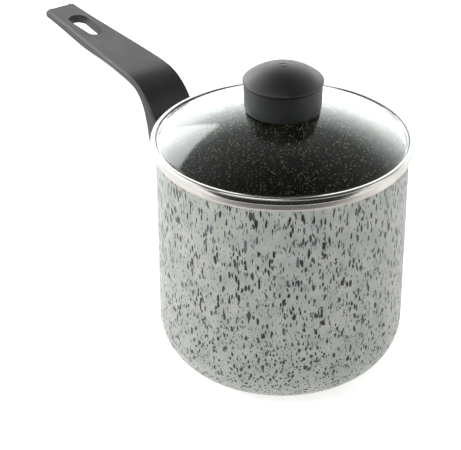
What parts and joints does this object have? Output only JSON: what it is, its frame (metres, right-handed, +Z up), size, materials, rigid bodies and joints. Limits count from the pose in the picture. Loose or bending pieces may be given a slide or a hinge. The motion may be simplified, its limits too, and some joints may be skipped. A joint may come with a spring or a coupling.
{
  "type": "saucepan with glass lid",
  "caption": "Deep straight-sided saucepan with a curved phenolic side handle with a hanging hole, and a lift-off domed glass lid with a steel ring and round knob.",
  "frame": {"origin": "centre of the flat underside of the pan, on the worktop", "axes": "+Z up along the pan's axis; the handle points along -X; Y is across the handle, and the object is symmetric about the XZ plane"},
  "size_m": [0.3158, 0.148, 0.1853],
  "materials": {
    "pan_coat": "aluminium with a satin speckled stone-effect coating outside, a dark flecked non-stick lining inside and a bare satin rim",
    "bracket_aluminium": "as cast, linished",
    "phenolic": "matt moulded phenolic",
    "steel_hardware": "zinc-plated or stainless, satin",
    "ring_steel": "bright rolled stainless strip",
    "lid_glass": "clear tempered glass, slight green at the edge",
    "insert_brass": "turned brass",
    "silicone": "translucent silicone"
  },
  "bodies": {
    "pan": {"pan_body": "pan_coat", "handle_bracket": "bracket_aluminium", "handle": "phenolic", "handle_screw": "steel_hardware", "handle_washer": "steel_hardware"},
    "lid": {"lid_glass": "lid_glass", "lid_ring": "ring_steel", "knob": "phenolic", "knob_insert": "insert_brass", "knob_screw": "steel_hardware", "cup_washer": "steel_hardware", "seal_under": "silicone", "seal_top": "silicone"}
  },
  "joints": [
    {"name": "lid_lift", "type": "slide", "parent": "pan", "child": "lid", "axis": [0, 0, 1], "range_m": [0, 0.12]}
  ]
}
